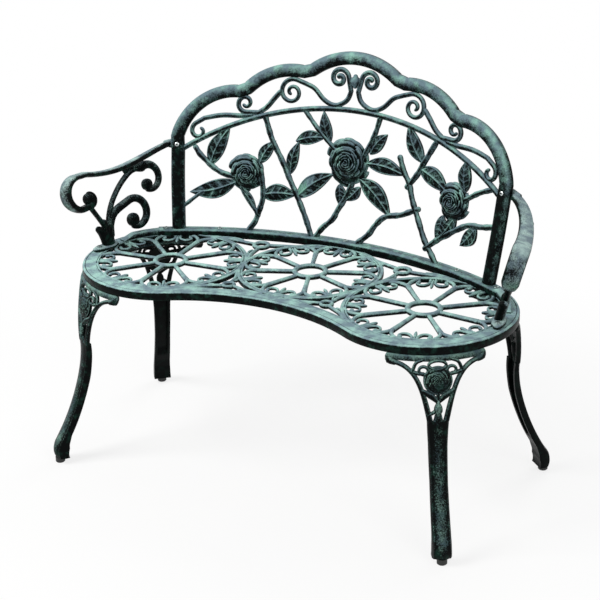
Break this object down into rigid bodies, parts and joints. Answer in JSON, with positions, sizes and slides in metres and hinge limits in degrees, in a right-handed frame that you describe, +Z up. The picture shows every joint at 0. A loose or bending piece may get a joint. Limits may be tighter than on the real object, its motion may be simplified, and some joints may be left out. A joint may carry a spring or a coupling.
{
  "type": "garden bench",
  "caption": "Two-seat cast garden bench with a pierced kidney-shaped seat, a curved openwork rose back under a scalloped rail, scrolled arms and cabriole legs.",
  "frame": {"origin": "on the ground, at the middle of the bounding box seen from above", "axes": "+X to the sitter's left hand side seen from the front as right, along the seat; +Y to the rear, behind the back; +Z up"},
  "size_m": [1.0436, 0.5475, 0.8113],
  "materials": {
    "cast_aluminium": "verdigris textured",
    "cast_aluminium_legs": "dark verdigris textured",
    "glide_plastic": "matte",
    "fastener_steel": "satin"
  },
  "bodies": {
    "root": {"seat": "cast_aluminium", "backrest": "cast_aluminium", "arm_left": "cast_aluminium", "arm_right": "cast_aluminium", "leg_front_left": "cast_aluminium_legs", "leg_front_right": "cast_aluminium_legs", "leg_rear_left": "cast_aluminium_legs", "leg_rear_right": "cast_aluminium_legs", "foot_glide_front_left": "glide_plastic", "foot_glide_front_right": "glide_plastic", "foot_glide_rear_left": "glide_plastic", "foot_glide_rear_right": "glide_plastic", "back_rail_bolts": "fastener_steel", "back_rail_washers": "fastener_steel", "back_rail_nuts": "fastener_steel", "arm_post_bolts": "fastener_steel", "arm_post_washers": "fastener_steel", "arm_post_nuts": "fastener_steel", "arm_foot_bolts": "fastener_steel", "arm_foot_washers": "fastener_steel", "arm_foot_nuts": "fastener_steel", "leg_bolts": "fastener_steel", "leg_washers": "fastener_steel"}
  },
  "joints": []
}
